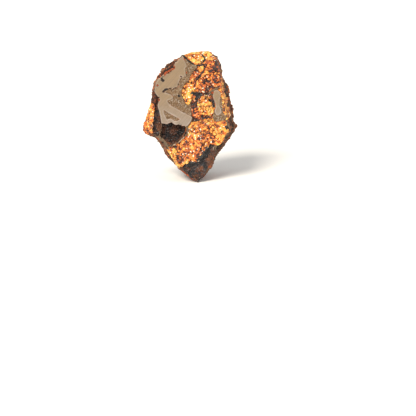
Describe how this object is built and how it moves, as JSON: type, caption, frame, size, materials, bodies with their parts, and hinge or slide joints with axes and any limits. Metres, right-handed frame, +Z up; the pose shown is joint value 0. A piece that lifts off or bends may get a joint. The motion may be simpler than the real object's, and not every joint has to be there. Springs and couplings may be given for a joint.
{
  "type": "pallasite meteorite",
  "caption": "Pallasite meteorite fragment with a flat cut face: bright nickel-iron round amber olivine crystals, standing on a small flat spot at its lower tip.",
  "frame": {"origin": "centre of the bounding box in X and Y, at the level of the flat spot it rests on", "axes": "+Z up along the stone's height, the cut face toward -Y, +X to the right as the cut face is seen"},
  "size_m": [0.0148, 0.0096, 0.0208],
  "materials": {
    "kamacite": "cut and lightly etched nickel-iron, satin",
    "plessite": "etched plessite, matte and granular",
    "weathered_metal": "nickel-iron skin under brown oxide, matte",
    "olivine_yellow": "pale yellow olivine, sugary and glossy",
    "olivine_orange": "amber olivine, sugary and glossy",
    "olivine_brown": "red-brown stained olivine, rough",
    "oxide": "blue-black iron oxide and phosphide, rough",
    "rust": "brown rust crust, rough",
    "rust_spots": "orange rust, matte"
  },
  "bodies": {
    "root": {"metal_frame": "weathered_metal", "kamacite_band": "kamacite", "kamacite_spoon": "kamacite", "plessite_core": "plessite", "plessite_upper": "plessite", "plessite_middle": "plessite", "plessite_band": "plessite", "phosphide_beads": "oxide", "rust_beads": "rust_spots", "olivine_crown": "olivine_yellow", "olivine_cap": "olivine_yellow", "olivine_brown": "olivine_brown", "olivine_strip": "olivine_yellow", "olivine_right": "olivine_orange", "olivine_centre": "olivine_brown", "olivine_heart": "olivine_yellow", "olivine_lens": "olivine_yellow", "olivine_inner": "olivine_brown", "olivine_rim": "olivine_orange", "olivine_belly": "olivine_orange", "olivine_lower": "olivine_orange", "olivine_splinter": "olivine_yellow", "olivine_shoulder": "olivine_orange", "oxide_arc": "oxide", "oxide_pocket": "oxide", "oxide_seam": "oxide", "socket_lining": "oxide", "toe_oxide": "oxide", "rust_crust": "rust", "slit_crust": "rust", "back_crown": "olivine_orange", "back_left": "olivine_yellow", "back_heart": "olivine_orange", "back_low_left": "olivine_brown", "back_centre": "olivine_orange", "back_right": "olivine_yellow", "back_belly": "olivine_orange", "back_foot": "olivine_brown", "back_chin": "olivine_orange"}
  },
  "joints": []
}
